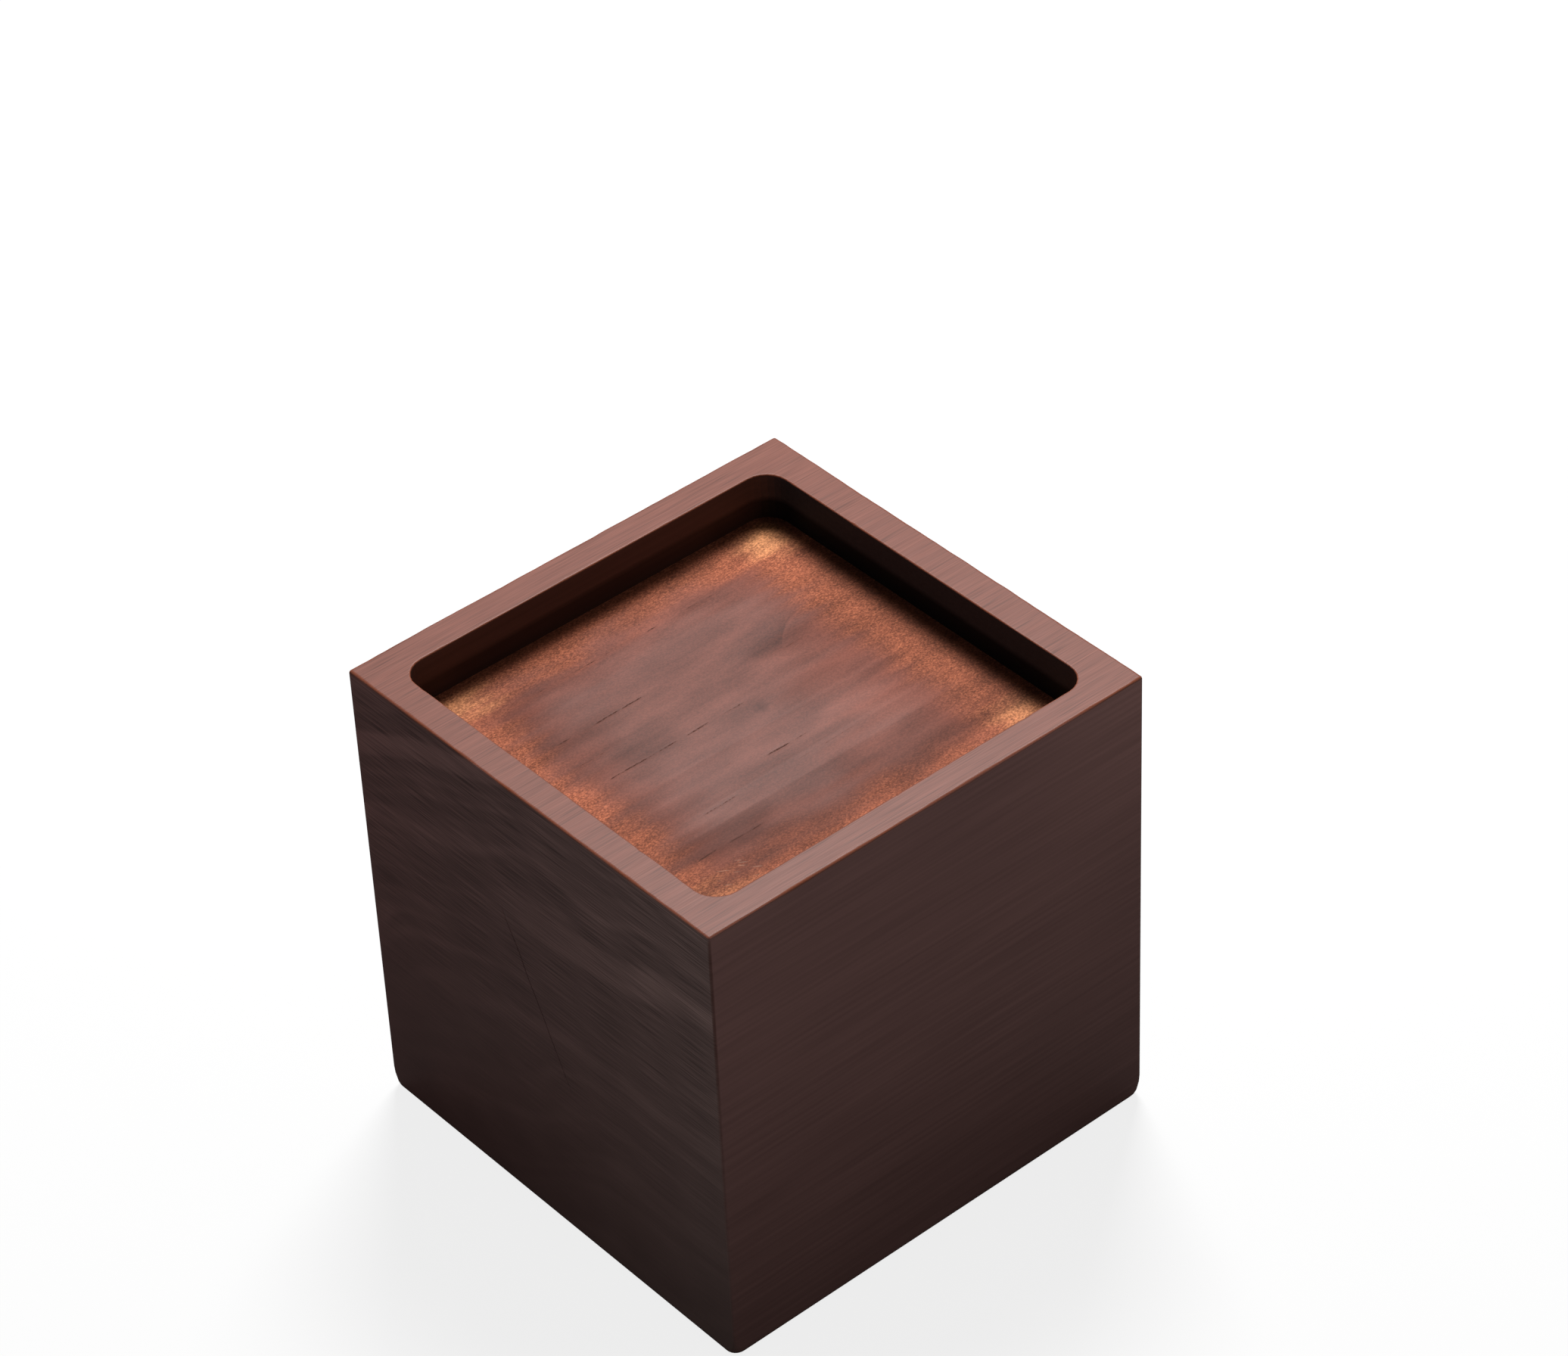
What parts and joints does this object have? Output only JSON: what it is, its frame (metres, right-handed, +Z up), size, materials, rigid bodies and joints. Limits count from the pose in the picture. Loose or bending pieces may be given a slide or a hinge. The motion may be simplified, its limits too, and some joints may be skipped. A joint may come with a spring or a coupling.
{
  "type": "bed riser",
  "caption": "Solid dark-stained wooden block with a shallow square recess routed in its top, which holds the foot of a bed's leg.",
  "frame": {"origin": "middle of the underside, on the floor", "axes": "+Z up out of the recess, X along the grain, Y across it; the corner nearest the camera is at -X and -Y"},
  "size_m": [0.102, 0.1002, 0.1022],
  "materials": {
    "stained_wood": "brown stain with a thin satin film, worn reddish along the arrises"
  },
  "bodies": {
    "root": {"riser_block": "stained_wood"}
  },
  "joints": []
}
